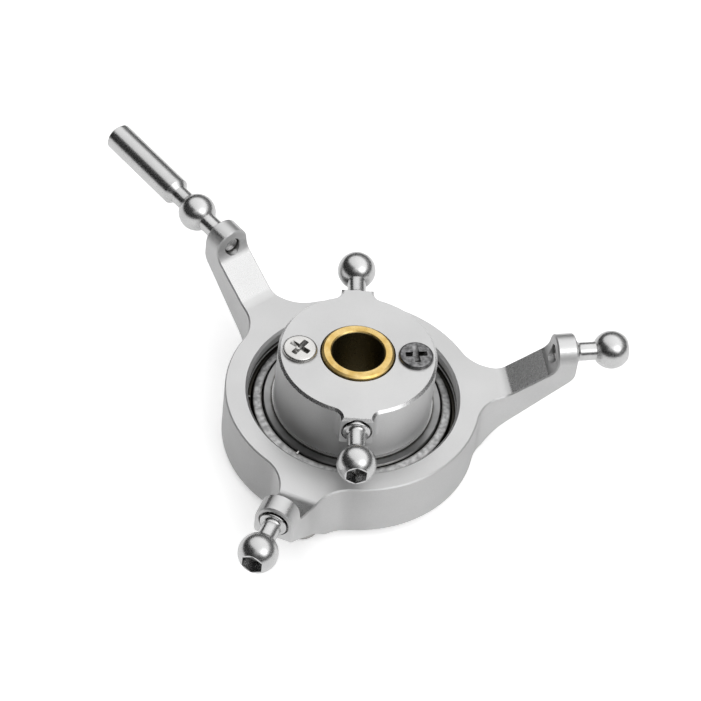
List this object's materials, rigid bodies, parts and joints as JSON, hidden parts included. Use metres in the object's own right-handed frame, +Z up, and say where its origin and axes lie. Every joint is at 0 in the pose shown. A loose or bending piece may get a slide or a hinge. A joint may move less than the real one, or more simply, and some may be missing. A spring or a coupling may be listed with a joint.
{
  "type": "helicopter swashplate",
  "caption": "Model helicopter swashplate: ball joint on the shaft, a rotating star with link balls inside a bearing, and a non-rotating ring with arms and a guide pin.",
  "frame": {"origin": "centre of the ball joint on the shaft axis, in the plane of the ring's link balls", "axes": "+Z up the main shaft, star screws on X, star link balls on Y with the pictured front at -Y"},
  "size_m": [0.0416, 0.0448, 0.0102],
  "materials": {
    "satin_aluminium": "bead-blasted, clear anodised",
    "polished_steel": "polished stainless steel",
    "screw_steel": "nickel-plated steel",
    "bearing_steel": "ground chrome steel",
    "shield_steel": "pressed steel sheet",
    "spring_wire": "drawn spring wire",
    "acetal": "machined black acetal",
    "brass": "turned brass"
  },
  "bodies": {
    "non_rotating": {"outer_ring": "satin_aluminium", "right_ball_stud": "polished_steel", "front_ball_stud": "polished_steel", "anti_rotation_pin": "polished_steel", "bearing_outer_race": "bearing_steel", "upper_bearing_shield": "shield_steel", "lower_bearing_shield": "shield_steel", "upper_snap_wire": "spring_wire", "lower_snap_wire": "spring_wire", "right_retaining_screw": "screw_steel", "rear_retaining_screw": "screw_steel", "front_retaining_screw": "screw_steel"},
    "rotating_star": {"star_cap": "satin_aluminium", "lower_hub": "satin_aluminium", "left_star_screw": "screw_steel", "right_star_screw": "screw_steel", "front_star_ball_stud": "polished_steel", "rear_star_ball_stud": "polished_steel", "bearing_inner_race": "bearing_steel"},
    "ball_liner": {"ball_liner": "acetal"},
    "uniball": {"uniball": "brass"},
    "bearing_cage": {"bearing_cage": "shield_steel", "bearing_balls": "bearing_steel"}
  },
  "joints": [
    {"name": "star_spin", "type": "hinge", "parent": "non_rotating", "child": "rotating_star", "pos_m": [0, 0, 0], "axis": [0, 0, 1], "continuous": true},
    {"name": "cage_spin", "type": "hinge", "parent": "non_rotating", "child": "bearing_cage", "pos_m": [0, 0, 0], "axis": [0, 0, 1], "continuous": true},
    {"name": "tilt_about_x", "type": "hinge", "parent": "rotating_star", "child": "ball_liner", "pos_m": [0, 0, 0], "axis": [1, 0, 0], "range_deg": [-10, 10]},
    {"name": "tilt_about_y", "type": "hinge", "parent": "ball_liner", "child": "uniball", "pos_m": [0, 0, 0], "axis": [0, 1, 0], "range_deg": [-10, 10]}
  ],
  "couplings": [
    {"joint": "cage_spin", "follows": "star_spin", "ratio": 0.44707}
  ]
}
